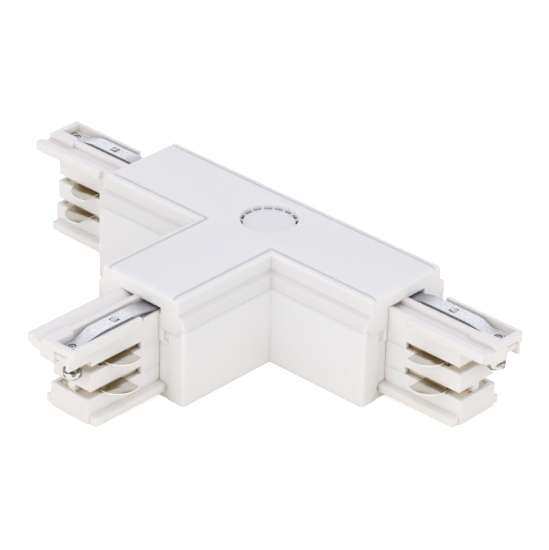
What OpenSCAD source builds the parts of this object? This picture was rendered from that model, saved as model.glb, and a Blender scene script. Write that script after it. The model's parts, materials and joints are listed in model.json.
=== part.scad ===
// T-shaped connector for a three-circuit lighting track.
// A two-piece housing carries three plug ends. Each plug end is described once, pointing
// along +X, with its wing side towards -Y, and is then turned or mirrored into place.
// The origin is on the underside, where the middle lines of the three arms meet.

/* [Housing] */
// Distance from the middle of the T to each end face
arm_len = 51.4; // [46:0.2:60]
// Half width of the base
body_half_w = 16.85; // [16.4:0.05:20]
// Overall height
body_h = 32.7; // [31:0.1:36]
// Half width of the raised crown of the cover
crown_half_w = 14.3; // [13.6:0.1:15]
// Thickness of the side walls and end walls
wall = 2; // [1.6:0.1:2.4]
// Thickness of the cover's roof
roof_t = 2; // [1.8:0.1:2.6]
// Height where the cover meets the base along the sides
parting_z = 23.5; // [22.6:0.1:24.2]
// Height where the two meet on the end faces
end_seam_z = 21.7; // [21:0.1:22.4]
// Rise of the slanted band from the side seam to the ledge
band_h = 3.9; // [3.4:0.1:4.2]
// How far the band leans in over that rise
band_lean = 0.95; // [0.5:0.05:1.4]
// Rounding of the upright corners
corner_r = 1.2; // [0.6:0.1:1.8]
// Rounding of the top edge at the end faces
end_edge_r = 1.8; // [1:0.1:2.4]
// Rounding of the crown's long edges
rim_r = 0.9; // [0.5:0.1:1.2]
// Width of the raised rim along the crown
rim_w = 1.55; // [1.3:0.05:2]
// Width of the groove between the rim and the plate
groove_w = 1; // [0.6:0.1:1.4]
// Depth of that groove
groove_d = 0.8; // [0.4:0.1:1.2]
// Height of the guide lip that reaches down inside the base
guide_h = 1.8; // [1:0.1:3]
// Thickness of the guide lip
guide_t = 1.1; // [0.8:0.1:1.4]
// Depth of the latch notches in the end faces
notch_depth = 1; // [0.6:0.1:1.6]
// Depth of the sunk strips below the notches
strip_depth = 0.4; // [0.2:0.1:0.8]

/* [Knock-out] */
// Diameter of the round knock-out in the roof
knock_d = 16.7; // [14:0.1:18]
// Depth of its sunk disc
knock_depth = 1.2; // [0.8:0.1:1.4]
// Number of webs that hold the disc
knock_webs = 16; // [8:2:20]
// Width of each web
knock_web_w = 0.7; // [0.5:0.1:1]
// Width of the slots around the disc
knock_slot_w = 0.9; // [0.6:0.1:1.2]

/* [Plug end] */
// Reach of the plug from the end face to its tip
plug_len = 34.6; // [33:0.2:38]
// Length of the carriers inside the housing
root_len = 17.4; // [14:0.2:19]
// Length of the full column before the slots start
column_len = 6.8; // [6:0.1:8]
// Half width of the column
column_half_w = 7.2; // [7.15:0.05:7.7]
// Half width of the three blocks
block_half_w = 7.15; // [7:0.05:7.3]
// Half width over the guide rails
rail_half_w = 8.75; // [8.4:0.05:9]
// Half width over the foot lips of the lower block
foot_half_w = 10; // [9:0.1:10.2]
// Height of those lips
foot_h = 2.6; // [2.2:0.1:3]
// Rounding of their outer edges
foot_r = 0.8; // [0.4:0.1:1]
// Underside of the lower block, which is also the floor of the base
floor_z = 2.2; // [1.8:0.1:2.6]
// Height of the lower block
lower_h = 7.6; // [7:0.1:8]
// Height of the middle block
middle_h = 5.65; // [5.2:0.05:6]
// Height of the two slots between the blocks
slot_h = 2.3; // [2.1:0.05:2.6]
// Height from the upper block's underside to the top of the plug
upper_h = 8.55; // [8.3:0.05:9]
// Length of the lower block past the end face
lower_len = 27; // [26.6:0.1:28]
// Length of the middle block past the end face
middle_len = 26.1; // [25.8:0.1:26.5]
// Length of the upper block past the end face
upper_len = 25.7; // [25.4:0.1:26]
// Rim left around the trays in the lower and middle blocks
tray_rim = 1.3; // [1:0.1:1.5]
// Depth of those trays
tray_depth = 2.1; // [1.6:0.1:2.4]
// Width of the post between the middle and lower blocks
post_w = 2.6; // [2:0.1:3.2]
// Thickness of that post
post_t = 1.6; // [1.4:0.1:2]
// Running clearance between fixed mouldings
fit = 0.1; // [0.05:0.05:0.15]

/* [Upper frame] */
// Height of the rail along the wing side, below the top of the plug
rail_drop = 0.5; // [0.4:0.1:0.8]
// Height of the channel floor, below the top of the plug
channel_drop = 1.6; // [1.3:0.1:1.8]
// Height of the rails along both sides
rail_h = 2.6; // [2.2:0.1:3]
// Distance from the end face to the start of the side rails
rail_start = 8; // [7.5:0.1:9]
// Position across of the pocket for the earth leaf
pocket_w = -3.85; // [-4.1:0.05:-3.7]
// Width of that pocket
pocket_width = 7.3; // [7:0.1:7.6]
// Width of the pocket's deep part, under the leaf
deep_width = 5.1; // [4.8:0.1:5.2]
// Height of the slit through the frame's front wall
slit_h = 0.6; // [0.4:0.1:0.8]
// Depth of the pocket
pocket_depth = 3.9; // [3.4:0.1:4.1]
// Thickness of the frame's front wall
front_wall = 1.8; // [1.4:0.1:2]

/* [Earth leaf] */
// Width of the sprung leaf
leaf_width = 4.8; // [4:0.1:4.9]
// Depth of the leaf's top below the top of the plug
leaf_sink = 0.05; // [0:0.05:0.5]
// Further drop of the leaf at its eyelet
leaf_dip = 1.6; // [1.2:0.05:1.7]
// Thickness of the leaf
leaf_t = 0.6; // [0.5:0.1:0.8]
// Distance from the end face to the clamp screw
screw_reach = 29.6; // [29:0.1:30.2]
// Length of the leaf's taper towards its eyelet
taper_len = 6.5; // [5:0.1:8]
// Outer radius of the leaf's eyelet
eyelet_r = 1.75; // [1.7:0.05:2]
// Diameter of the hole in the eyelet
eyelet_hole_d = 2.3; // [2.2:0.1:2.6]
// Drop of the leaf's end when it is pressed down
leaf_give = 1.4; // [1:0.1:1.6]

/* [Clamp screw] */
// Diameter of the thread
screw_d = 2.6; // [2.4:0.1:3]
// Diameter of the point that passes through the leaf
screw_tip_d = 1; // [0.8:0.1:1.1]
// Travel of the screw along its axis
screw_travel = 2.4; // [2:0.1:2.5]
// Diameter of the head
screw_head_d = 5.3; // [4.8:0.1:5.5]
// Height of the domed head
screw_head_h = 2.8; // [2.4:0.1:3]
// Height of the head's top above the top of the middle block
screw_hang = 1.7; // [1.4:0.1:1.9]
// Clearance between the screw and the frame
screw_fit = 0.2; // [0.1:0.05:0.3]

/* [Contacts] */
// Thickness of the contact sheet
contact_t = 0.4; // [0.3:0.05:0.5]
// Distance across from the middle of the plug to the contact strip
contact_w = 4.85; // [4.6:0.05:4.9]
// Length of the contact strip from its root
contact_len = 14.4; // [12:0.1:15]
// Gap between a blade and the block under it
blade_gap = 0.35; // [0.3:0.05:0.4]
// Radius of a blade's rounded edge
blade_r = 6.1; // [5.6:0.1:6.2]
// Reach across of the blades in the upper slots
upper_blade_w = 12; // [11:0.1:12.2]
// Reach across of the blades in the lower slots
lower_blade_w = 13; // [12:0.1:13.2]
// Radius of the rolled root that each contact turns on
root_r = 0.7; // [0.6:0.05:0.8]

/* [Bus bars] */
// Width of the phase and neutral strips
bus_w = 2.2; // [1.8:0.1:2.2]
// Thickness of those strips
bus_t = 0.6; // [0.5:0.1:0.8]
// Height of the hop where one strip crosses another
hop_h = 1.4; // [1.3:0.1:2]
// Width of the earth strip
earth_w = 4.6; // [4:0.1:5]
// Thickness of the earth strip
earth_t = 0.7; // [0.6:0.1:0.8]

/* [Cover screws] */
// Distance of the outer cover screws from the middle of the T
cover_screw_x = 29; // [26:0.5:31]
// Distance of the cover screws from the middle line of an arm
cover_screw_w = 11; // [10.8:0.1:11.2]
// Diameter of the pillars round the cover screws
pillar_d = 6.6; // [6:0.1:7]
// Height of the pillars in the base
pillar_h = 7; // [6:0.5:10]
// Diameter of the cover screws' heads
cover_head_d = 4.6; // [4:0.1:5]
// Depth that the heads are sunk in the underside
sink_depth = 3; // [2.4:0.1:3.4]

/* [Hidden] */
$fn = 24;

ARMS = ["left", "right", "branch"];

// Levels of the plug end, from the floor up
lower_top = floor_z + lower_h;
middle_z = lower_top + slot_h;
middle_top = middle_z + middle_h;
upper_z = middle_top + slot_h - fit;
frame_z = upper_z + upper_h;
rail_top = frame_z - rail_drop;
channel_z = frame_z - channel_drop;
rail_z = rail_top - rail_h;
lip_z = rail_top + fit;
pocket_z = frame_z - pocket_depth;
lower_tray_z = lower_top - tray_depth;
middle_tray_z = middle_top - tray_depth;

// Stations along the plug end, outward from the middle of the T
root_u = arm_len - root_len;
slot_u = arm_len + column_len;
rail_u = arm_len + rail_start;
lower_tip = arm_len + lower_len;
middle_tip = arm_len + middle_len;
upper_tip = arm_len + upper_len;
tip_u = arm_len + plug_len;
screw_u = arm_len + screw_reach;
hinge_u = arm_len + column_len - 1.2;
leaf_hinge_u = arm_len - 2.4;

// Places across the plug end
tray_half_w = block_half_w - tray_rim;
gusset = 1.6;
deck_edge = 1.7;
channel_edge = deck_edge + 2.2;
rail_edge = channel_edge + 2.1;
pocket_in = pocket_w + pocket_width / 2;
pocket_out = pocket_w - pocket_width / 2;
deep = [pocket_w - deep_width / 2, pocket_w + deep_width / 2];
leg_out = -block_half_w - 0.45;
leg_in = leg_out + 1.1;
arch_in = pocket_w + 1.8;
nose_in = 3.5;
nose_z = upper_z + 2.65;
leg_z = nose_z - 0.5;
arch_z = pocket_z - 0.6;
slit_z = frame_z - 2.1;
shelf_z = rail_z + 0.8;
lip_end = lower_tip - 0.6;
wing_step_z = nose_z + 1.75;
wing_step_w = rail_half_w - 2;

inner_half_w = body_half_w - wall;
notch_in = column_half_w + 1.65;
notch_out = notch_in + 2.2;
notch_z = end_seam_z - 3.5;
bus_side_w = tray_half_w - fit - bus_w / 2;
bus_end = hinge_u - root_r - 0.3;
leaf_rear_z = rail_top - 0.6;
earth_z = leaf_rear_z - leaf_t - 0.2 - earth_t;

// Smooth step from 0 to 1 as t goes from a to b
function eased(t, a, b) =
    let (s = min(1, max(0, (t - a) / (b - a))))
    s * s * (3 - 2 * s);

// Points of an arc round c, from angle a to angle b
function arc(c, r, a, b, steps = 8) =
    [for (i = [0:steps]) let (t = a + (b - a) * i / steps) c + r * [cos(t), sin(t)]];

// Places a piece on one of the three arms
module on_arm(arm) {
    if (arm == "left") mirror([1, 0, 0]) children();
    if (arm == "right") children();
    if (arm == "branch") rotate([0, 0, -90]) children();
}

// A box given by its spans outward, across towards the wing, and up
module span_box(u, w, z) {
    translate([u[0], -w[1], z[0]]) cube([u[1] - u[0], w[1] - w[0], z[1] - z[0]]);
}

// A section drawn as (across, up), run outward over the span u
module run_out(u) {
    translate([u[0], 0, 0]) rotate([90, 0, 90]) linear_extrude(u[1] - u[0]) mirror([1, 0]) children();
}

// A side view drawn as (outward, up), run across over the span w
module run_across(w) {
    translate([0, -w[0], 0]) rotate([90, 0, 0]) linear_extrude(w[1] - w[0]) children();
}

// A plan drawn as (outward, across), run up over the span z
module run_up(z) {
    translate([0, 0, z[0]]) linear_extrude(z[1] - z[0]) mirror([0, 1]) children();
}

// A rectangle with round corners
module round_rect(x, y, r) {
    translate([x[0] + r, y[0]]) square([x[1] - x[0] - 2 * r, y[1] - y[0]]);
    translate([x[0], y[0] + r]) square([x[1] - x[0], y[1] - y[0] - 2 * r]);
    for (cx = [x[0] + r, x[1] - r], cy = [y[0] + r, y[1] - r]) translate([cx, cy]) circle(r);
}

// Plan of the T, with its sides at half width h and its ends at distance a
module tee_plan(h, a, r) {
    round_rect([-a, a], [-h, h], r);
    round_rect([-h, h], [-a, 0], r);
}

// Plan of the T with sharp corners
module sharp_tee(h, a) {
    translate([-a, -h]) square([2 * a, 2 * h]);
    translate([-h, -a]) square([2 * h, a]);
}

// The places of the cover screws
module at_cover_screws() {
    for (x = [-cover_screw_x, cover_screw_x], y = [-cover_screw_w, cover_screw_w])
        translate([x, y, 0]) children();
    for (x = [-cover_screw_w, cover_screw_w]) translate([x, -cover_screw_x, 0]) children();
}

// The notch beside each column on the end faces, and the strip sunk below it
module end_face_cuts() {
    for (side = [-1, 1]) {
        across = side > 0 ? [notch_in, notch_out] : [-notch_out, -notch_in];
        strip = side > 0 ? [column_half_w, notch_out] : [-notch_out, -column_half_w];
        span_box([arm_len - notch_depth, arm_len + 1], across, [notch_z, end_seam_z + 1]);
        span_box([arm_len - strip_depth, arm_len + 1], strip, [-1, notch_z - 0.5]);
    }
}

module base_housing() color("white")
difference() {
    union() {
        difference() {
            linear_extrude(parting_z) tee_plan(body_half_w, arm_len, corner_r);
            translate([0, 0, floor_z]) linear_extrude(parting_z) sharp_tee(inner_half_w, arm_len - wall);
        }
        at_cover_screws() cylinder(h = pillar_h, d = pillar_d);
    }
    for (arm = ARMS) on_arm(arm) {
        span_box([arm_len - wall - 1, arm_len + 1], [-inner_half_w, inner_half_w],
            [end_seam_z, parting_z + 1]);
        span_box([arm_len - wall - 1, arm_len + 1],
            [-column_half_w - fit, column_half_w + fit], [floor_z, parting_z + 1]);
        end_face_cuts();
    }
    at_cover_screws() {
        translate([0, 0, -1]) cylinder(h = sink_depth + 1, d = cover_head_d + 0.4);
        translate([0, 0, -1]) cylinder(h = pillar_h + 2, d = 2.7);
    }
}

// Half of the cover's section, from the side seam up to the middle
module cover_half_section() {
    band = [for (i = [0:6]) let (t = i / 6)
        [body_half_w - band_lean * pow(t, 1.6), parting_z + band_h * t]];
    rim = arc([crown_half_w - rim_r, body_h - rim_r], rim_r, 0, 90);
    ledge_z = parting_z + band_h + 0.55;
    polygon(concat([[0, parting_z]], band, [[crown_half_w, ledge_z]], rim, [[0, body_h]]));
}

// One arm of the cover as a solid, with round top and upright corners at its end
module cover_arm() {
    intersection() {
        run_out([0, arm_len]) {
            cover_half_section();
            mirror([1, 0]) cover_half_section();
        }
        run_across([-body_half_w - 1, body_half_w + 1])
            polygon(concat([[-1, 0], [arm_len, 0]],
                arc([arm_len - end_edge_r, body_h - end_edge_r], end_edge_r, 0, 90),
                [[-1, body_h]]));
        run_up([0, body_h + 1]) round_rect([-body_half_w, arm_len], [-body_half_w, body_half_w], corner_r);
    }
}

// The opening under the cover's lip where a plug end comes out
module plug_opening() {
    u = [arm_len - wall - 1, arm_len + 1];
    low = end_seam_z - 1;
    span_box(u, [-column_half_w - fit, column_half_w + fit], [low, lip_z]);
    span_box(u, [-column_half_w - 0.6, 0], [frame_z - 2.2, lip_z]);
}

// The sunk disc with its ring of slots
module knock_out() {
    webs = knock_webs;
    translate([0, 0, body_h - knock_depth]) cylinder(h = knock_depth + 1, d = knock_d);
    translate([0, 0, body_h - roof_t - 1]) difference() {
        cylinder(h = roof_t, d = knock_d);
        translate([0, 0, -1]) cylinder(h = roof_t + 2, d = knock_d - 2 * knock_slot_w);
        for (i = [0:webs - 1]) rotate([0, 0, (i + 0.5) * 360 / webs])
            translate([0, -knock_web_w / 2, -1]) cube([knock_d, knock_web_w, roof_t + 2]);
    }
}

module top_cover() color("white")
difference() {
    union() {
        difference() {
            for (arm = ARMS) on_arm(arm) cover_arm();
            translate([0, 0, parting_z - 1])
                linear_extrude(1 + band_h / 2) sharp_tee(inner_half_w, arm_len - wall);
            translate([0, 0, parting_z - 1])
                linear_extrude(body_h - roof_t - parting_z + 1)
                    sharp_tee(crown_half_w - wall, arm_len - wall);
        }
        for (arm = ARMS) on_arm(arm)
            span_box([arm_len - wall, arm_len], [-inner_half_w + fit, inner_half_w - fit],
                [end_seam_z, parting_z + 1]);
        guide_lip();
        at_cover_screws() translate([0, 0, pillar_h]) cylinder(h = body_h - roof_t - pillar_h + 0.5, d = 5.4);
    }
    translate([0, 0, body_h - groove_d]) linear_extrude(groove_d + 1) difference() {
        sharp_tee(crown_half_w - rim_w, arm_len + 2);
        sharp_tee(crown_half_w - rim_w - groove_w, arm_len + 3);
    }
    for (arm = ARMS) on_arm(arm) plug_opening();
    at_cover_screws() translate([0, 0, pillar_h - 1]) cylinder(h = 9, d = 2.3);
    knock_out();
}

// The lip that reaches down inside the base's side walls
module guide_lip() {
    outer = inner_half_w - fit;
    translate([0, 0, parting_z - guide_h]) linear_extrude(guide_h + band_h / 2 + 0.5)
    difference() {
        sharp_tee(outer, arm_len - wall - 1);
        sharp_tee(outer - guide_t, arm_len);
    }
}

// Short self-tapping screws, driven in from the underside
module cover_screws() color("silver")
at_cover_screws() {
    translate([0, 0, sink_depth - 1.6]) difference() {
        cylinder(h = 1.6, d = cover_head_d);
        for (turn = [0, 90]) rotate([0, 0, turn]) translate([-1.4, -0.35, -1]) cube([2.8, 0.7, 1.8]);
    }
    translate([0, 0, sink_depth]) cylinder(h = pillar_h - sink_depth + 6, d = 2.2);
}

// The foot lip along one side of the lower block, with a rounded outer edge
module foot_section() {
    top = floor_z + foot_h;
    polygon(concat([[block_half_w - 1, floor_z], [foot_half_w - 0.4, floor_z], [foot_half_w, floor_z + 0.4]],
        arc([foot_half_w - foot_r, top - foot_r], foot_r, 0, 90),
        [[block_half_w - 1, top]]));
}

// The gussets that stiffen the outer corners of a tray
module tray_gussets(tip, z) {
    for (side = [-1, 1]) run_up(z)
        polygon([[tip - tray_rim + 0.2, side * (tray_half_w + 0.2)],
            [tip - tray_rim - gusset, side * (tray_half_w + 0.2)],
            [tip - tray_rim + 0.2, side * (tray_half_w - gusset)]]);
}

module lower_carrier() color("white") {
    lower_block();
    tray_gussets(lower_tip, [lower_tray_z - 0.2, lower_top - 0.2]);
}

module lower_block()
difference() {
    union() {
        span_box([root_u, slot_u], [-column_half_w, column_half_w], [floor_z, lower_top]);
        span_box([root_u, lower_tip], [-block_half_w, block_half_w], [floor_z, lower_top]);
        intersection() {
            run_out([arm_len - strip_depth, lip_end]) {
                foot_section();
                mirror([1, 0]) foot_section();
            }
            run_up([0, body_h]) round_rect([0, lip_end], [-foot_half_w, foot_half_w], foot_r);
        }
    }
    span_box([root_u - 1, lower_tip - tray_rim], [-tray_half_w, tray_half_w],
        [lower_tray_z, lower_top + 1]);
}

module middle_carrier() color("white") {
    middle_block();
    tray_gussets(middle_tip, [middle_tray_z - 0.2, middle_top - 0.2]);
}

module middle_block()
difference() {
    union() {
        span_box([root_u, slot_u], [-column_half_w, column_half_w], [lower_top, middle_top]);
        span_box([root_u, middle_tip], [-block_half_w, block_half_w], [middle_z, middle_top]);
        span_box([middle_tip - post_t, middle_tip], [-post_w / 2, post_w / 2], [lower_top, middle_z + 1]);
    }
    span_box([root_u - 1, middle_tip - tray_rim], [-tray_half_w, tray_half_w],
        [middle_tray_z, middle_top + 1]);
    span_box([root_u - 1, slot_u + 1], [-tray_half_w, tray_half_w], [lower_top - 1, middle_z]);
}

// Section of the upper carrier's column, with the channel beside the wing
module column_section(top) {
    polygon([
        [-column_half_w, middle_top], [column_half_w, middle_top], [column_half_w, rail_top],
        [rail_edge, rail_top], [channel_edge, channel_z], [deck_edge, channel_z], [deck_edge, top],
        [pocket_in, top], [pocket_in, shelf_z], [deep[1], shelf_z], [deep[1], pocket_z],
        [deep[0], pocket_z], [deep[0], channel_z - 0.2], [-column_half_w, channel_z - 0.2],
    ]);
}

// Section of the frame's deck and its two side rails
module deck_section() {
    polygon([
        [-rail_half_w, rail_z], [rail_half_w, rail_z], [rail_half_w, rail_top - 0.6],
        [rail_half_w - 0.45, rail_top], [rail_edge, rail_top], [channel_edge, channel_z],
        [deck_edge, channel_z], [deck_edge, frame_z], [-rail_half_w + 0.1, frame_z],
        [-rail_half_w, frame_z - 0.1],
    ]);
}

// Section of the nose past the blocks: a leg, an arch for the screw, and the stepped wing
module nose_section() {
    polygon([
        [leg_out, leg_z], [leg_in, leg_z], [leg_in, arch_z], [arch_in, arch_z], [arch_in, nose_z],
        [nose_in, nose_z], [nose_in, wing_step_z], [wing_step_w, wing_step_z],
        [wing_step_w, channel_z], [deck_edge, channel_z], [deck_edge, frame_z - 0.4],
        [leg_out, frame_z - 0.4],
    ]);
}

module upper_carrier() color("white")
difference() {
    intersection() {
        union() {
            run_out([root_u, arm_len]) column_section(rail_top);
            run_out([arm_len, slot_u]) column_section(frame_z);
            span_box([slot_u, upper_tip], [-block_half_w, block_half_w], [upper_z, channel_z]);
            span_box([slot_u, rail_u], [pocket_in - 0.5, deck_edge], [channel_z - 1, frame_z]);
            run_out([slot_u, rail_u]) polygon([[channel_edge, channel_z - 1], [block_half_w, channel_z - 1],
                [block_half_w, rail_top], [rail_edge, rail_top], [channel_edge, channel_z]]);
            run_out([rail_u, tip_u]) deck_section();
            run_out([upper_tip - 1, tip_u]) nose_section();
            span_box([upper_tip - 0.7, tip_u], [deck_edge - 1, deck_edge + 1], [channel_z - 1, frame_z]);
            span_box([root_u, arm_len - 1], deep, [pocket_z - 1, earth_z]);
        }
        run_up([0, body_h]) round_rect([root_u, tip_u], [-rail_half_w, rail_half_w], 0.9);
    }
    span_box([root_u - 1, slot_u + 1], [-tray_half_w, tray_half_w], [middle_top - 1, upper_z]);
    span_box([slot_u - 1, screw_u - 3.2], [pocket_out, pocket_in], [shelf_z, frame_z + 1]);
    span_box([slot_u - 1, tip_u - front_wall], [pocket_out, pocket_in - 1], [shelf_z, frame_z + 1]);
    span_box([slot_u - 1, tip_u - front_wall], deep, [pocket_z, frame_z + 1]);
    span_box([tip_u - 0.5, tip_u + 1], [leg_in, arch_in], [arch_z - 1, slit_z]);
    span_box([tip_u - front_wall - 0.5, tip_u + 1], [leg_in, arch_in], [slit_z - slit_h, slit_z]);
    translate([screw_u, -pocket_w, arch_z - 1]) cylinder(h = 3, d = screw_d + 2 * screw_fit);
}

// Insulating wedges between the contact strips, which widen to fill the end of each tray
module core() color("wheat") {
    wide = bus_side_w - bus_w / 2 - fit;
    narrow = 1.6;
    pad_u = hinge_u + contact_len + 2.2;
    plan = [[root_u, -wide], [hinge_u + 1, -wide], [pad_u, -narrow],
        [pad_u, narrow], [hinge_u + 1, wide], [root_u, wide]];
    side_w = tray_half_w - fit;
    cut = gusset - fit * 0.5;
    levels = [[lower_tray_z, lower_top, middle_z, lower_tip], [middle_tray_z, middle_top, upper_z, middle_tip]];
    for (level = levels) {
        run_up([level[0], level[2]]) polygon(plan);
        end = level[3] - tray_rim - fit;
        run_up([level[0], level[1] - 0.4]) polygon([
            [pad_u - 1, -side_w], [end - cut, -side_w], [end, -side_w + cut],
            [end, side_w - cut], [end - cut, side_w], [pad_u - 1, side_w],
        ]);
    }
}

// Height of the leaf's top along the plug
function leaf_top(u) =
    leaf_rear_z
    + (frame_z - leaf_sink - leaf_rear_z) * eased(u, arm_len - 0.4, arm_len + column_len - 0.8)
    - leaf_dip * eased(u, screw_u - taper_len - 2.5, screw_u - 1.6);

// The sprung earth leaf: a bowed strip that narrows to an eyelet round the clamp screw
module earth_leaf() color("lightsteelblue") {
    half = leaf_width / 2;
    rear_u = leaf_hinge_u - 0.8;
    taper_u = screw_u - 0.6 - taper_len;
    stations = [for (i = [0:20]) rear_u + (screw_u + eyelet_r - rear_u) * i / 20];
    difference() {
        intersection() {
            run_across([pocket_w - half, pocket_w + half])
                polygon(concat([for (u = stations) [u, leaf_top(u)]],
                    [for (i = [20:-1:0]) [stations[i], leaf_top(stations[i]) - leaf_t]]));
            run_up([0, frame_z + 4]) translate([0, pocket_w]) {
                translate([rear_u, -half]) square([taper_u + 0.1 - rear_u, 2 * half]);
                polygon([[taper_u, -half], [screw_u - 0.6, -eyelet_r + 0.1],
                    [screw_u - 0.6, eyelet_r - 0.1], [taper_u, half]]);
                translate([screw_u, 0]) circle(eyelet_r);
            }
        }
        translate([screw_u, -pocket_w, 0]) cylinder(h = frame_z + 4, d = eyelet_hole_d);
    }
}

// The clamp screw hangs head down under the nose
module clamp_screw() color("silver")
translate([screw_u, -pocket_w, 0]) {
    head_top = middle_top + screw_hang;
    dome_h = screw_head_h - 1.4;
    difference() {
        union() {
            translate([0, 0, head_top - 1.4]) cylinder(h = 1.4, d = screw_head_d);
            rotate_extrude() polygon(concat([[0, head_top - 1.3]], [[screw_head_d / 2, head_top - 1.3]],
                [for (i = [0:8]) let (t = 90 * i / 8)
                    [screw_head_d / 2 * cos(t), head_top - 1.4 - dome_h * sin(t)]]));
        }
        for (turn = [20, 110]) rotate([0, 0, turn])
            translate([-1.6, -0.4, head_top - screw_head_h - 1]) cube([3.2, 0.8, 2.2]);
    }
    shoulder_z = leaf_top(screw_u) - leaf_t - leaf_give - screw_travel - 0.3;
    translate([0, 0, head_top - 0.2]) cylinder(h = shoulder_z - head_top + 0.2, d = screw_d);
    translate([0, 0, shoulder_z - 0.2]) cylinder(h = leaf_top(screw_u) - shoulder_z, d = screw_tip_d);
}

// A contact finger: an upright strip with a half-moon blade bent out at its lower edge
module contact(floor, top, reach, rear_u) color("tan") {
    blade_z = top + blade_gap;
    strip_z = [floor + bus_t + 0.2, top + slot_h - 0.4];
    translate([hinge_u, -contact_w, strip_z[0]]) cylinder(h = strip_z[1] - strip_z[0], r = root_r);
    span_box([hinge_u, hinge_u + contact_len], [contact_w - contact_t / 2, contact_w + contact_t / 2],
        [floor + 0.6, strip_z[1]]);
    run_up([blade_z, blade_z + contact_t]) intersection() {
        translate([rear_u, contact_w - contact_t / 2]) square([20, 20]);
        union() {
            translate([rear_u + 2.6, reach - blade_r]) circle(blade_r);
            translate([rear_u - 5, 0]) square([7.6 + blade_r, reach - blade_r]);
        }
    }
}

module upper_contact() {
    contact(middle_tray_z, middle_top, upper_blade_w, arm_len + 10.9);
}

module lower_contact() {
    contact(lower_tray_z, lower_top, lower_blade_w, arm_len + 12.7);
}

// A contact on the side away from the wing
module plain_side() {
    mirror([0, 1, 0]) children();
}

// A flat strip along an arm at a place across, and its hop over a crossing strip
module strip_along(u, w, z) {
    span_box(u, [w - bus_w / 2, w + bus_w / 2], [z, z + bus_t]);
}

// The strip that joins the wing-side contacts of the three plug ends
module wing_bus(z) color("peru") {
    w = bus_side_w;
    strip_along([-bus_end, bus_end], w, z);
    on_arm("branch") strip_along([w - bus_w / 2, bus_end], w, z);
}

// The strip that joins the other contacts, with a hop over the wing-side strip
module plain_bus(z) color("peru") {
    w = bus_side_w;
    clear = bus_w / 2 + 0.8;
    strip_along([-bus_end, bus_end], -w, z);
    on_arm("branch") {
        strip_along([-w - bus_w / 2, w - clear], -w, z);
        strip_along([w + clear, bus_end], -w, z);
        strip_along([w - clear - bus_t, w + clear + bus_t], -w, z + hop_h);
        for (u = [w - clear - bus_t, w + clear])
            span_box([u, u + bus_t], [-w - bus_w / 2, -w + bus_w / 2], [z, z + hop_h + bus_t]);
    }
}

// The strip that joins the three earth leaves
module earth_bus() color("peru") {
    u = leaf_hinge_u + 1;
    across = [pocket_w - earth_w / 2, pocket_w + earth_w / 2];
    z = [earth_z, earth_z + earth_t];
    span_box([-u, u], across, z);
    on_arm("branch") span_box([pocket_w - earth_w / 2, u], across, z);
}

base_housing();
top_cover();
cover_screws();
for (arm = ARMS) {
    on_arm(arm) lower_carrier();
    on_arm(arm) middle_carrier();
    on_arm(arm) upper_carrier();
    on_arm(arm) core();
    on_arm(arm) earth_leaf();
    on_arm(arm) clamp_screw();
    on_arm(arm) upper_contact();
    on_arm(arm) lower_contact();
    on_arm(arm) plain_side() upper_contact();
    on_arm(arm) plain_side() lower_contact();
}
wing_bus(middle_tray_z);  // upper_wing_bus
plain_bus(middle_tray_z);  // upper_plain_bus
wing_bus(lower_tray_z);  // lower_wing_bus
plain_bus(lower_tray_z);  // lower_plain_bus
earth_bus();
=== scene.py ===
import json
import math

import bpy
from mathutils import Euler, Matrix, Vector

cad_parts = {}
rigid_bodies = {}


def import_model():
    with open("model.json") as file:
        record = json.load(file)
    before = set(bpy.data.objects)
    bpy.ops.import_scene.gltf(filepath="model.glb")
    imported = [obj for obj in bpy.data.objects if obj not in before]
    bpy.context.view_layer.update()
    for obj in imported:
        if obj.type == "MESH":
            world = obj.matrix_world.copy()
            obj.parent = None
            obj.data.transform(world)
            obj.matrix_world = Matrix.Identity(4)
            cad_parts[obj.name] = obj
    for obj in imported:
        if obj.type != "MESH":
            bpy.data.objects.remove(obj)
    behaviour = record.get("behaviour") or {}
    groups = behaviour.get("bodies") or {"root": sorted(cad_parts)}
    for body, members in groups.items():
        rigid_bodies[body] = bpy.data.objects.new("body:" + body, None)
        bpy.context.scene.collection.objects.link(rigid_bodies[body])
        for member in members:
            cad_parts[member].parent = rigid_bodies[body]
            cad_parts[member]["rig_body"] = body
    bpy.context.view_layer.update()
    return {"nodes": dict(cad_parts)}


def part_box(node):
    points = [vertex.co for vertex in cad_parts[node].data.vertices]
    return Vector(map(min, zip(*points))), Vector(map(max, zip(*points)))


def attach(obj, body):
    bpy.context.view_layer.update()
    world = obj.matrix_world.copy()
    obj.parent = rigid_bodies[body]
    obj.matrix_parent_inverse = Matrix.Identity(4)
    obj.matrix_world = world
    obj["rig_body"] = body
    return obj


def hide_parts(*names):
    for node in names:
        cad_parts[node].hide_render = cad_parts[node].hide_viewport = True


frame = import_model()
nodes = frame["nodes"]
arms = ("left", "right", "branch")
outwards = {"left": Vector((-1, 0, 0)), "right": Vector((1, 0, 0)), "branch": Vector((0, -1, 0))}
print("frame loaded:", len(nodes), "nodes")


# camera and lamps

cameraSettings = {
    "azimuth": 42.148,  # degrees round from the front
    "elevation": 29.852,
    "roll": 1.611,
    "lens": 238.25,
    "distance": 1.03894,
    "aim": (-0.002734, 0.005906, 0.010827),
    "clipEnd": 20,
}


def addCamera(settings):
    tilt = math.radians(90 - settings["elevation"])
    turn = Euler((tilt, 0, math.radians(settings["azimuth"]))).to_matrix()
    turn = turn @ Matrix.Rotation(math.radians(settings["roll"]), 3, "Z")
    place = Vector(settings["aim"]) + turn @ Vector((0, 0, settings["distance"]))
    bpy.ops.object.camera_add(location=place, rotation=turn.to_euler())
    camera = bpy.context.object
    camera.name = "photoCamera"
    camera.data.lens = settings["lens"]
    camera.data.clip_end = settings["clipEnd"]
    bpy.context.scene.camera = camera


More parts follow.
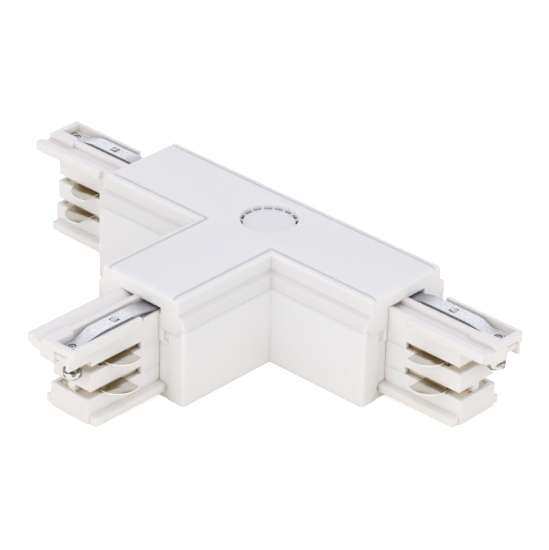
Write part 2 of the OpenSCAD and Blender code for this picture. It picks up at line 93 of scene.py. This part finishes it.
lampSettings = {
    "frontSoftbox": {"place": (-0.3, -1.2, 0.4), "size": 1.1, "power": 1.45, "colour": (1.0, 0.96, 0.9)},
    "rightSoftbox": {"place": (1.2, 0.15, 0.4), "size": 1.1, "power": 0.4, "colour": (1.0, 0.98, 0.95)},
    "cornerSoftbox": {"place": (0.8, -0.9, 0.35), "size": 0.9, "power": 1.95, "colour": (1.0, 0.98, 0.9)},
}
lampAim = Vector((0, 0, 0.01))


def addLamps(settings):
    for name, lamp in settings.items():
        towards = (lampAim - Vector(lamp["place"])).to_track_quat("-Z", "Y")
        bpy.ops.object.light_add(type="AREA", location=lamp["place"], rotation=towards.to_euler())
        softbox = bpy.context.object
        softbox.name = name
        softbox.data.size = lamp["size"]
        softbox.data.energy = lamp["power"]
        softbox.data.color = lamp["colour"]


def rgb(red, green, blue):
    return (red, green, blue, 1.0)


# shader maths: a wire is a socket that takes part in Python expressions

class Wire:
    def __init__(self, build, socket):
        self.build = build
        self.socket = socket

    def reckon(self, operation, first, second):
        return self.build.node("ShaderNodeMath", {"operation": operation}, {0: first, 1: second})

    def __add__(self, other):
        return self.reckon("ADD", self, other)

    def __radd__(self, other):
        return self.reckon("ADD", other, self)

    def __sub__(self, other):
        return self.reckon("SUBTRACT", self, other)

    def __rsub__(self, other):
        return self.reckon("SUBTRACT", other, self)

    def __mul__(self, other):
        return self.reckon("MULTIPLY", self, other)

    def __rmul__(self, other):
        return self.reckon("MULTIPLY", other, self)

    def orMore(self, other):
        return self.reckon("MAXIMUM", self, other)


class Build:
    # the node tree of a material, or of the world
    def __init__(self, name, family=bpy.data.materials):
        self.owner = family.new(name)
        self.owner.use_nodes = True
        self.tree = self.owner.node_tree
        self.surface = self.tree.nodes.get("Principled BSDF")

    def node(self, kind, settings, inputs, output=0):
        made = self.tree.nodes.new(kind)
        for key, value in settings.items():
            if key == "stops":
                ramp = made.color_ramp
                while len(ramp.elements) < len(value):
                    ramp.elements.new(0.5)
                for element, (place, colour) in zip(ramp.elements, value):
                    element.position = place
                    element.color = colour
            else:
                setattr(made, key, value)
        for key, value in inputs.items():
            if isinstance(value, Wire):
                self.tree.links.new(value.socket, made.inputs[key])
            else:
                made.inputs[key].default_value = value
        return Wire(self, made.outputs[output])

    def place(self, scale=(1, 1, 1)):
        spot = self.node("ShaderNodeTexCoord", {}, {}, "Object")
        return self.node("ShaderNodeMapping", {}, {"Vector": spot, "Scale": scale})

    def noise(self, spot, scale, detail=2.0, rough=0.5):
        return self.node("ShaderNodeTexNoise", {}, {"Vector": spot, "Scale": scale, "Detail": detail,
                                                    "Roughness": rough})

    def mix(self, amount, first, second):
        return self.node("ShaderNodeMix", {"data_type": "RGBA"}, {0: amount, 6: first, 7: second}, 2)

    def below(self, value, start, slope, first, second):
        # first turns to second as the value falls below its start
        share = self.node("ShaderNodeClamp", {}, {"Value": (start - value) * slope})
        return self.mix(share, first, second)

    def daylight(self, reach):
        # from 1 in the open down to 0 deep in a corner or groove
        return self.node("ShaderNodeAmbientOcclusion", {"samples": 6}, {"Distance": reach}, "AO")

    def seenDirectly(self):
        # 1 for the rays that show the background white: straight to the lens, mirrored or let through
        camera, mirrored, through = [self.node("ShaderNodeLightPath", {}, {}, ray) for ray in (
            "Is Camera Ray", "Is Glossy Ray", "Is Transmission Ray")]
        return camera.orMore(mirrored).orMore(through)

    def bump(self, height, relief):
        strength, distance = relief
        return self.node("ShaderNodeBump", {}, {"Height": height, "Strength": strength, "Distance": distance})

    def finish(self, varying, fixed):
        for key, wire in varying.items():
            self.tree.links.new(wire.socket, self.surface.inputs[key])
        for key, value in fixed.items():
            self.surface.inputs[key].default_value = value
        return self.owner


# the groove and hollow colours of each look are painted shade, laid by the share of daylight that arrives:
# hollows take theirs under a given share, depth is how strongly grooves take theirs, and reach is how far
# round a spot the walls count
plasticLooks = {
    "housing": {"light": rgb(0.905, 0.9, 0.91), "shade": rgb(0.885, 0.88, 0.89),
                "groove": rgb(0.80, 0.80, 0.79), "hollow": rgb(0.84, 0.82, 0.76),
                "hollowShadeFrom": 0.42, "reach": 0.0015, "depth": 0.8, "rough": 0.4},
    # the crown and band looks are darker copies of the housing white, painted shade on the crown's sides and
    # on the leaning band; the end look is a lighter copy, painted light on the end faces
    "crown": {"light": rgb(0.872, 0.865, 0.868), "shade": rgb(0.855, 0.848, 0.85),
              "groove": rgb(0.76, 0.75, 0.74), "hollow": rgb(0.84, 0.82, 0.76),
              "hollowShadeFrom": 0.42, "reach": 0.003, "depth": 0.8, "rough": 0.4},
    "band": {"light": rgb(0.85, 0.84, 0.84), "shade": rgb(0.835, 0.825, 0.822),
             "groove": rgb(0.60, 0.59, 0.58), "hollow": rgb(0.56, 0.54, 0.51),
             "hollowShadeFrom": 0.42, "reach": 0.005, "depth": 1.0, "rough": 0.4},
    "end": {"light": rgb(0.95, 0.94, 0.935), "shade": rgb(0.935, 0.92, 0.915),
            "groove": rgb(0.84, 0.82, 0.79), "hollow": rgb(0.70, 0.64, 0.55),
            "hollowShadeFrom": 0.42, "reach": 0.0015, "depth": 0.7, "rough": 0.4},
    "carrier": {"light": rgb(0.912, 0.9, 0.895), "shade": rgb(0.892, 0.878, 0.87),
                "groove": rgb(0.78, 0.73, 0.66), "hollow": rgb(0.52, 0.37, 0.19),
                "hollowShadeFrom": 0.5, "reach": 0.003, "depth": 1.0, "rough": 0.36},
}
plasticSettings = {
    "drift": 45,  # drift, grain and the like are scales of noise
    "grain": 2600,
    "waves": 160,
    "relief": (0.12, 0.00006),  # a bump's strength and depth
    "grooveFrom": 0.86,
    "hollowShadeSlope": 2.2,
    "fixed": {"Subsurface Weight": 0.25, "Subsurface Radius": (1.0, 0.7, 0.5), "Subsurface Scale": 0.002},
}


def whitePlastic(name, look):
    # satin moulded white: a faint drift of tone, grooves darkened by painted shade, hollows warmed by painted
    # shade, a fine spark-eroded grain and slow waves from shrinkage
    settings = plasticSettings
    build = Build(name)
    spot = build.place()
    drift = build.noise(spot, settings["drift"], 3)
    grain = build.noise(spot, settings["grain"], 2, 0.6)
    waves = build.noise(spot, settings["waves"], 1)
    daylight = build.daylight(look["reach"])
    body = build.mix(drift, look["light"], look["shade"])
    # painted shade: the groove tone and then the warmer hollow tone come in where less daylight arrives
    grooved = build.below(daylight, settings["grooveFrom"], look["depth"], body, look["groove"])
    tone = build.below(daylight, look["hollowShadeFrom"], settings["hollowShadeSlope"], grooved, look["hollow"])
    return build.finish(
        {"Base Color": tone,
         "Roughness": look["rough"] + grain * 0.1 + drift * 0.05,
         "Normal": build.bump(grain * 0.3 + waves, settings["relief"])},
        settings["fixed"])


beigeSettings = {
    "light": rgb(0.99, 0.93, 0.79),
    "shade": rgb(0.97, 0.88, 0.70),
    # the groove colour is a painted warm shade
    "groove": rgb(0.88, 0.56, 0.20),
    "grooveFrom": 0.66,
    "grooveSlope": 1.9,
    "reach": 0.003,
    "rough": 0.45,
    "drift": 220,
    "grain": 2400,
    "relief": (0.12, 0.00004),
}


def beigePlastic(name, settings):
    build = Build(name)
    spot = build.place()
    drift = build.noise(spot, settings["drift"], 3)
    grain = build.noise(spot, settings["grain"], 2)
    body = build.mix(drift, settings["light"], settings["shade"])
    daylight = build.daylight(settings["reach"])
    # painted shade: a warm brown comes in at grooves and corners where less daylight arrives
    tone = build.below(daylight, settings["grooveFrom"], settings["grooveSlope"], body, settings["groove"])
    return build.finish(
        {"Base Color": tone,
         "Roughness": settings["rough"] + grain * 0.12,
         "Normal": build.bump(grain, settings["relief"])},
        {})


zincSettings = {
    "flakes": 3900,
    "cloud": 900,
    "stops": ((0.25, 0.62, 0.635, 0.675), (0.5, 0.80, 0.815, 0.865), (0.75, 0.92, 0.93, 0.98)),
    # the root and pocket colours are painted shade
    "root": rgb(0.30, 0.31, 0.33),
    "rootShadeFrom": 0.0605,  # distance from the middle of the T, inside which the strip takes painted shade
    "rootShadeSlope": 110,
    "pocket": rgb(0.46, 0.47, 0.49),
    "pocketFrom": 0.93,
    "pocketSlope": 4,
    "pocketReach": 0.02,
    "rough": 0.4,
    "relief": (0.06, 0.00003),
    # a darker share for the lanced tabs' copy: painted shade
    "tabShadeScale": 0.82,
}


def zincSheet(name, settings, shadeScale=1.0):
    # bright zinc: a fine spangle of light and dark flakes, with painted shade deep in the pocket and more
    # painted shade towards the strip's root
    build = Build(name)
    spot = build.place()
    flakes = build.node("ShaderNodeTexVoronoi", {"feature": "F1"},
                        {"Vector": spot, "Scale": settings["flakes"]}, "Color")
    flake = build.node("ShaderNodeRGBToBW", {}, {"Color": flakes})
    tone = flake * 0.5 + build.noise(spot, settings["cloud"], 4, 0.7) * 0.5
    # a share under 1 darkens the whole copy, painted shade
    stops = [(place, rgb(red * shadeScale, green * shadeScale, blue * shadeScale))
             for place, red, green, blue in settings["stops"]]
    spangle = build.node("ShaderNodeValToRGB", {"stops": stops}, {0: tone})
    level = build.place((1, 1, 0))
    outward = build.node("ShaderNodeVectorMath", {"operation": "LENGTH"}, {0: level}, "Value")
    # painted shade towards the root, then in the pocket
    rootShaded = build.below(outward, settings["rootShadeFrom"], settings["rootShadeSlope"], spangle, settings["root"])
    daylight = build.daylight(settings["pocketReach"])
    colour = build.below(daylight, settings["pocketFrom"], settings["pocketSlope"], rootShaded,
                         settings["pocket"])
    return build.finish(
        {"Base Color": colour,
         "Roughness": settings["rough"] + tone * 0.12,
         "Normal": build.bump(tone, settings["relief"])},
        {"Metallic": 1.0})


nickelSettings = {
    # the dark stop is a painted reflection
    "stops": ((0.44, rgb(0.60, 0.60, 0.58)), (0.56, rgb(0.16, 0.16, 0.14))),
    "patches": 620,
    "rubbed": rgb(0.54, 0.53, 0.50),
    "rub": 900,
    "rubShare": 0.3,
    "rough": 0.09,
    "relief": (0.06, 0.00004),
}


def nickelWire(name, settings):
    # bright nickel with painted dark reflections broken into patches, and rubbed in places
    build = Build(name)
    spot = build.place()
    rub = build.noise(spot, settings["rub"], 4, 0.65)
    patches = build.node("ShaderNodeValToRGB", {"stops": settings["stops"]},
                         {0: build.noise(spot, settings["patches"], 1)})
    return build.finish(
        {"Base Color": build.mix(rub * settings["rubShare"], patches, settings["rubbed"]),
         "Roughness": settings["rough"] + rub * 0.12,
         "Normal": build.bump(rub, settings["relief"])},
        {"Metallic": 1.0})


bladeSettings = {
    "light": rgb(0.80, 0.785, 0.745),
    "shade": rgb(0.71, 0.69, 0.64),
    # painted warm shade in the folds, where little daylight arrives
    "foldShade": rgb(0.52, 0.42, 0.27),
    "foldShadeFrom": 0.78,
    "foldShadeSlope": 2.0,
    "reach": 0.0035,
    "rough": 0.14,
    "cloud": 340,
    "lines": 500,
    "stretch": (1, 1, 14),  # draws the noise out along the sheet
    "relief": (0.05, 0.00003),
}


def springSheet(name, settings):
    # nickel-washed bronze strip with painted warm shade in the folds, and rolling lines along the sheet
    build = Build(name)
    spot = build.place()
    cloud = build.noise(spot, settings["cloud"], 4, 0.6)
    lines = build.noise(build.place(settings["stretch"]), settings["lines"], 3)
    washed = build.mix(cloud, settings["light"], settings["shade"])
    daylight = build.daylight(settings["reach"])
    # painted shade
    tone = build.below(daylight, settings["foldShadeFrom"], settings["foldShadeSlope"], washed, settings["foldShade"])
    return build.finish(
        {"Base Color": tone,
         "Roughness": settings["rough"] + cloud * 0.08 + lines * 0.06,
         "Normal": build.bump(lines * 0.5 + cloud * 0.5, settings["relief"])},
        {"Metallic": 1.0})


# finishes that drift between two tones: the strips' sheared rims, with a painted highlight; pale and dark
# paints on the upright strips, painted light in the lower slots and painted shade in the upper; and hidden
# copper
cloudedLooks = {
    # the rims' near-white is partly raw sheared metal and partly a painted highlight
    "contactRimAndHighlight": {"light": rgb(0.96, 0.95, 0.92), "shade": rgb(0.88, 0.85, 0.79),
                    "cloud": 1500, "detail": 3, "rough": 0.4, "metallic": 0.35},
    # pale for the light in the lower slots, dark brown for the shade in the upper: painted light and painted
    # shade
    "litStripPaint": {"light": rgb(0.97, 0.93, 0.83), "shade": rgb(0.92, 0.85, 0.70),
                   "cloud": 420, "detail": 3, "rough": 0.35, "metallic": 0.0},
    "shadedStripPaint": {"light": rgb(0.62, 0.50, 0.31), "shade": rgb(0.48, 0.36, 0.20),
                   "cloud": 420, "detail": 3, "rough": 0.35, "metallic": 0.0},
    "busCopper": {"light": rgb(0.80, 0.50, 0.33), "shade": rgb(0.62, 0.36, 0.22),
                  "cloud": 260, "detail": 4, "rough": 0.3, "metallic": 1.0},
}


def cloudedFinish(name, look):
    build = Build(name)
    cloud = build.noise(build.place(), look["cloud"], look["detail"], 0.6)
    return build.finish(
        {"Base Color": build.mix(cloud, look["light"], look["shade"]),
         "Roughness": look["rough"] + cloud * 0.2},
        {"Metallic": look["metallic"]})


# surroundings

floorSettings = {
    "size": 6,
    "height": -0.00003,  # just under the flat underside, so that the two don't flicker
    "light": rgb(0.93, 0.915, 0.83),
    "shade": rgb(0.91, 0.895, 0.81),
    "drift": 2.5,
    "glow": 0.62,
}


def floorPaint(name, settings):
    # a pale floor that the lens sees as white, and that still takes a soft shadow
    build = Build(name)
    drift = build.noise(build.place(), settings["drift"])
    tone = build.mix(drift, settings["light"], settings["shade"])
    diffuse = build.node("ShaderNodeBsdfDiffuse", {}, {"Color": tone})
    glow = build.node("ShaderNodeEmission", {}, {"Color": rgb(1, 1, 1), "Strength": settings["glow"]})
    both = build.node("ShaderNodeAddShader", {}, {0: diffuse, 1: glow})
    mixed = build.node("ShaderNodeMixShader", {}, {0: build.seenDirectly(), 1: diffuse, 2: both})
    build.tree.links.new(mixed.socket, build.tree.nodes["Material Output"].inputs["Surface"])
    return build.owner


def addFloor(settings):
    bpy.ops.object.select_all(action="DESELECT")
    bpy.ops.mesh.primitive_plane_add(size=settings["size"], location=(0, 0, settings["height"]))
    floor = bpy.context.object
    floor.name = "paleFloor"
    floor.data.materials.append(floorPaint("floorPaint", settings))


worldSettings = {"diffuse": 0.81, "seen": 1.0, "tint": rgb(0.985, 0.975, 1.03)}


def addWorld(settings):
    build = Build("paleStudio", bpy.data.worlds)
    bpy.context.scene.world = build.owner
    direct = build.seenDirectly()
    strength = settings["diffuse"] + direct * (settings["seen"] - settings["diffuse"])
    tint = build.mix(direct, settings["tint"], rgb(1, 1, 1))
    background = build.tree.nodes["Background"]
    build.tree.links.new(tint.socket, background.inputs["Color"])
    build.tree.links.new(strength.socket, background.inputs["Strength"])


addCamera(cameraSettings)
addLamps(lampSettings)
addFloor(floorSettings)
addWorld(worldSettings)
bpy.context.scene.view_settings.view_transform = "Standard"
print("camera, lamps and floor placed")


# finishes

housingWhite = whitePlastic("housingWhite", plasticLooks["housing"])
# darker copies for painted shade on crown and band, a lighter one for painted light on the end faces
crownShadedWhite = whitePlastic("crownShadedWhite", plasticLooks["crown"])
bandShadedWhite = whitePlastic("bandShadedWhite", plasticLooks["band"])
endLitWhite = whitePlastic("endLitWhite", plasticLooks["end"])
carrierWhite = whitePlastic("carrierWhite", plasticLooks["carrier"])
coreBeige = beigePlastic("coreBeige", beigeSettings)
zinc = zincSheet("brightZinc", zincSettings)
# a darker copy of the zinc for the lanced tabs: painted shade
shadedTabZinc = zincSheet("shadedTabZinc", zincSettings, zincSettings["tabShadeScale"])
nickel = nickelWire("screwNickel", nickelSettings)
contactSheet = springSheet("contactSheet", bladeSettings)
contactRimAndHighlight = cloudedFinish("contactRimAndHighlight", cloudedLooks["contactRimAndHighlight"])
# painted light and painted shade for the upright strips
litStripPaint = cloudedFinish("litStripPaint", cloudedLooks["litStripPaint"])
shadedStripPaint = cloudedFinish("shadedStripPaint", cloudedLooks["shadedStripPaint"])
busCopper = cloudedFinish("busCopper", cloudedLooks["busCopper"])

finishByEnding = {
    "_bus": busCopper,
    "_core": coreBeige,
    "_earth_leaf": zinc,
    "_contact": contactSheet,
    "_screw": nickel,
    "_screws": nickel,
    "_carrier": carrierWhite,
    "_cover": housingWhite,
    "_housing": housingWhite,
}


def dress(thing, material):
    thing.data.materials.clear()
    thing.data.materials.append(material)


for name, node in nodes.items():
    for ending, material in finishByEnding.items():
        if name.endswith(ending):
            dress(node, material)
print("finishes laid on", len(nodes), "nodes")


# mouldings: each plastic piece is a copy of its solid with the sharp edges eased, as a mould leaves them

mouldingSettings = {
    "weld": 0.00001,
    "flat": 0.6,  # degrees that still count as one flat face
    "edgeAngle": 24,
    "smoothAngle": 32,
    "segments": 3,
    "easing": {"top_cover": 0.00028, "base_housing": 0.0003, "carrier": 0.00022, "core": 0.0001},
}


def workOn(piece):
    bpy.ops.object.select_all(action="DESELECT")
    bpy.context.view_layer.objects.active = piece
    piece.select_set(True)


def easeEdges(nodeName, newName, width, material):
    settings = mouldingSettings
    piece = bpy.data.objects.new(newName, nodes[nodeName].data.copy())
    bpy.context.scene.collection.objects.link(piece)
    workOn(piece)
    bpy.ops.object.mode_set(mode="EDIT")
    bpy.ops.mesh.select_all(action="SELECT")
    bpy.ops.mesh.remove_doubles(threshold=settings["weld"])
    bpy.ops.mesh.dissolve_limited(angle_limit=math.radians(settings["flat"]))
    bpy.ops.object.mode_set(mode="OBJECT")
    eased = piece.modifiers.new("easedEdges", "BEVEL")
    eased.width = width
    eased.segments = settings["segments"]
    eased.limit_method = "ANGLE"
    eased.angle_limit = math.radians(settings["edgeAngle"])
    bpy.ops.object.modifier_apply(modifier=eased.name)
    bpy.ops.object.shade_smooth_by_angle(angle=math.radians(settings["smoothAngle"]))
    dress(piece, material)
    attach(piece, nodes[nodeName]["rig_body"])
    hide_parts(nodeName)
    return piece


def paintFaces(piece, material, wanted):
    # lays a second finish on the faces that a rule on centre and normal wants
    piece.data.materials.append(material)
    workOn(piece)
    bpy.ops.object.mode_set(mode="EDIT")
    bpy.ops.mesh.select_mode(type="FACE")
    bpy.ops.mesh.select_all(action="DESELECT")
    bpy.ops.object.mode_set(mode="OBJECT")
    for face in piece.data.polygons:
        face.select = wanted(face.center, face.normal)
    bpy.ops.object.mode_set(mode="EDIT")
    piece.active_material_index = len(piece.data.materials) - 1
    bpy.ops.object.material_slot_assign()
    bpy.ops.object.mode_set(mode="OBJECT")


# where the housing's painted shade (crown sides, band) and painted light (end faces) lie: heights, how far a
# face leans, and the distance along an arm
crownSettings = {"low": 0.028, "high": 0.0316, "flattest": 0.5}
bandSettings = {"low": 0.0236, "high": 0.028, "steepest": 0.04, "flattest": 0.97}
endSettings = {"from": 0.0492, "facing": 0.7}


def onCrownSide(centre, normal):
    settings = crownSettings
    return settings["low"] < centre.z < settings["high"] and abs(normal.z) < settings["flattest"]


def onBand(centre, normal):
    settings = bandSettings
    return (settings["low"] < centre.z < settings["high"]
            and settings["steepest"] < normal.z < settings["flattest"])


def onEndFace(centre, normal):
    settings = endSettings
    return any(centre.dot(out) > settings["from"] and normal.dot(out) > settings["facing"]
               for out in outwards.values())


easing = mouldingSettings["easing"]
cover = easeEdges("top_cover", "coverMoulding", easing["top_cover"], housingWhite)
# painted shade on the crown's sides and the band, painted light on the end faces
paintFaces(cover, crownShadedWhite, onCrownSide)
paintFaces(cover, bandShadedWhite, onBand)
paintFaces(cover, endLitWhite, onEndFace)
base = easeEdges("base_housing", "baseMoulding", easing["base_housing"], housingWhite)
# painted light on the base's end faces
paintFaces(base, endLitWhite, onEndFace)
for arm in arms:
    for level in ("lower", "middle", "upper"):
        carrier = easeEdges(arm + "_" + level + "_carrier", arm + level.capitalize() + "Moulding",
                            easing["carrier"], carrierWhite)

padSettings = {
    "from": 0.0722,  # where an insulator's wide end starts along its arm
    "middle": 0.0745,
    "inner": 0.004,  # what lies nearer to the arm's middle line stays as it is
    "growth": 0.00016,
    "reach": 0.0009,
}


def growPads(core, arm, settings):
    # the wide end of an insulator is pressed against the tray's walls and reaches back to the contacts
    out = outwards[arm]
    for vertex in core.data.vertices:
        along = vertex.co.dot(out)
        side = vertex.co - out * along
        side.z = 0
        if along > settings["from"] and side.length > settings["inner"]:
            vertex.co += side.normalized() * settings["growth"]
            if along < settings["middle"]:
                vertex.co -= out * settings["reach"]
        if along > settings["middle"]:
            vertex.co += out * settings["growth"]


for arm in arms:
    core = easeEdges(arm + "_core", arm + "Insulator", easing["core"], coreBeige)
    growPads(core, arm, padSettings)
print("mouldings eased")


# contacts: blades with a sheared rim whose pale tone is partly a painted highlight, and each upright strip
# painted pale for light in the lower slots and brown for shade in the upper

contactSettings = {
    "easing": 0.00006,
    "rimReach": 0.0062,  # from the arm's middle line
    "rimFlattest": 0.8,
    "stripReach": 0.0053,
    "stripFacing": 0.9,
}


def across(arm, spot):
    # how far a spot lies from an arm's middle line
    return abs(spot.x if arm == "branch" else spot.y)


def dressContact(arm, level, side, settings):
    bladeName = arm + level.capitalize() + side.capitalize() + "Blade"
    contact = easeEdges("_".join((arm, level, side, "contact")), bladeName, settings["easing"], contactSheet)
    # the rim's near-white: partly raw metal, partly a painted highlight
    paintFaces(contact, contactRimAndHighlight, lambda centre, normal: abs(normal.z) < settings["rimFlattest"]
               and across(arm, centre) > settings["rimReach"])
    # painted light on the lower slots' strips, painted shade on the upper ones
    stripPaint = litStripPaint if level == "lower" else shadedStripPaint
    paintFaces(contact, stripPaint, lambda centre, normal: across(arm, normal) > settings["stripFacing"]
               and across(arm, centre) < settings["stripReach"])


for arm in arms:
    for level in ("upper", "lower"):
        for side in ("wing", "plain"):
            dressContact(arm, level, side, contactSettings)
print("contacts dressed")


# earth leaves, each with a lanced tab and the slit round it

leafSettings = {
    "easing": 0.00008,
    "tabAt": 0.0652,  # distance of the lanced tab from the middle of the T
    "tabLength": 0.0019,
    "tabWidth": 0.0017,
    "tabSheet": 0.00042,
    "tabEasing": 0.00012,
    "slit": 0.0003,
    "cutterHeight": 0.003,
    "lift": 12,  # degrees
}


def middleOf(nodeName):
    low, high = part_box(nodeName)
    return (low + high) / 2


def alongArm(arm, middle, along):
    # the spot on a piece's middle line at a distance along its arm
    if arm == "branch":
        return (middle.x, -along)
    return (along if arm == "right" else -along, middle.y)


def laidAlong(arm, along, wide, high):
    return (wide, along, high) if arm == "branch" else (along, wide, high)


def addBlock(name, centre, size):
    bpy.ops.object.select_all(action="DESELECT")
    bpy.ops.mesh.primitive_cube_add(size=1, location=centre, scale=size)
    block = bpy.context.object
    block.name = name
    bpy.ops.object.transform_apply(location=True, rotation=True, scale=True)
    return block


def cutAway(piece, cutter):
    workOn(piece)
    slit = piece.modifiers.new("slit", "BOOLEAN")
    slit.operation = "DIFFERENCE"
    slit.solver = "EXACT"
    slit.object = cutter
    bpy.ops.object.modifier_apply(modifier=slit.name)
    bpy.data.objects.remove(cutter)


def liftTab(tab, arm, hinge, settings):
    # one end is turned up about the other, which stays on the leaf
    workOn(tab)
    bpy.ops.object.mode_set(mode="EDIT")
    bpy.ops.mesh.select_all(action="SELECT")
    lift = settings["lift"] if arm == "left" else -settings["lift"]
    bpy.ops.transform.rotate(value=math.radians(lift), orient_axis="X" if arm == "branch" else "Y",
                             center_override=hinge)
    bpy.ops.mesh.bevel(offset=settings["tabEasing"], segments=3, affect="EDGES")
    bpy.ops.object.mode_set(mode="OBJECT")
    bpy.ops.object.shade_smooth_by_angle(angle=math.radians(mouldingSettings["smoothAngle"]))


def dressLeaf(arm, settings):
    leafName = arm + "_earth_leaf"
    leaf = easeEdges(leafName, arm + "EarthLeaf", settings["easing"], zinc)
    top = max(vertex.co.z for vertex in leaf.data.vertices)
    middle = middleOf(leafName)
    x, y = alongArm(arm, middle, settings["tabAt"])
    length, width, slit = settings["tabLength"], settings["tabWidth"], settings["slit"]
    cutAway(leaf, addBlock("slitCutter", (x, y, top),
                           laidAlong(arm, length + slit, width + 2 * slit, settings["cutterHeight"])))
    tab = addBlock(arm + "LancedTab", (x, y, top - settings["tabSheet"] / 2),
                   laidAlong(arm, length, width, settings["tabSheet"]))
    liftTab(tab, arm, (*alongArm(arm, middle, settings["tabAt"] + length / 2), top), settings)
    dress(tab, shadedTabZinc)
    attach(tab, leafName)


for arm in arms:
    dressLeaf(arm, leafSettings)
print("earth leaves dressed")


# screws: eased copies, and round each clamp screw a turned thread, with a dished point at its end

screwSettings = {
    "easing": 0.00014,
    "threadFrom": 0.0196,
    "threadTo": 0.0222,
    "core": 0.00128,
    "crest": 0.00147,
    "pitch": 0.00045,
    "sunk": 0.0001,  # how far the thread's back lies inside the shaft
    "pointRadius": 0.00092,
    "pointLength": 0.0022,
    "chamfer": 0.00012,
    "dish": 0.0002,
    "rim": (0.86, 0.6, 0.45),  # outer edge, inner edge and dish as shares of the point's radius
    "steps": 40,
    "weld": 0.000004,
    "smoothAngle": 40,
}


def turnedPiece(name, x, y, profile, settings):
    # a line of points is drawn from the axis and spun all round
    bpy.ops.object.select_all(action="DESELECT")
    bpy.ops.mesh.primitive_plane_add(size=0.0001, location=(0, 0, 0))
    piece = bpy.context.object
    piece.name = name
    bpy.ops.object.mode_set(mode="EDIT")
    bpy.ops.mesh.select_mode(type="VERT")
    bpy.ops.mesh.select_all(action="SELECT")
    bpy.ops.mesh.merge(type="CENTER")
    radius, height = profile[0]
    bpy.ops.transform.translate(value=(x + radius, y, height))
    for newRadius, newHeight in profile[1:]:
        bpy.ops.mesh.extrude_region_move(TRANSFORM_OT_translate={
            "value": (newRadius - radius, 0, newHeight - height)})
        radius, height = newRadius, newHeight
    bpy.ops.mesh.select_all(action="SELECT")
    bpy.ops.mesh.spin(steps=settings["steps"], angle=math.radians(360), center=(x, y, 0), axis=(0, 0, 1))
    bpy.ops.mesh.select_all(action="SELECT")
    bpy.ops.mesh.remove_doubles(threshold=settings["weld"])
    bpy.ops.mesh.normals_make_consistent(inside=False)
    bpy.ops.object.mode_set(mode="OBJECT")
    bpy.ops.object.shade_smooth_by_angle(angle=math.radians(settings["smoothAngle"]))
    return piece


def threadProfile(settings):
    height = settings["threadFrom"]
    points = [(settings["core"], height)]
    while height + settings["pitch"] < settings["threadTo"]:
        points.append((settings["crest"], height + settings["pitch"] * 0.5))
        height += settings["pitch"]
        points.append((settings["core"], height))
    back = settings["core"] - settings["sunk"]
    return [(back, settings["threadFrom"])] + points + [(back, height), (back, settings["threadFrom"])]


def pointProfile(settings, top):
    radius, bottom, dish = settings["pointRadius"], top - settings["pointLength"], top - settings["dish"]
    outer, inner, hollow = [share * radius for share in settings["rim"]]
    return [(0, bottom), (radius, bottom), (radius, top - settings["chamfer"]), (outer, top), (inner, top),
            (hollow, dish), (0, dish)]


for arm in arms:
    screwName = arm + "_clamp_screw"
    screw = easeEdges(screwName, arm + "ScrewHead", screwSettings["easing"], nickel)
    x, y, _ = middleOf(screwName)
    thread = turnedPiece(arm + "ScrewThread", x, y, threadProfile(screwSettings), screwSettings)
    dress(thread, nickel)
    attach(thread, screwName)
    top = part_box(screwName)[1].z
    point = turnedPiece(arm + "ScrewPoint", x, y, pointProfile(screwSettings, top), screwSettings)
    dress(point, zinc)
    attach(point, screwName)
coverScrews = easeEdges("cover_screws", "coverScrewHeads", screwSettings["easing"], nickel)
print("screws dressed")
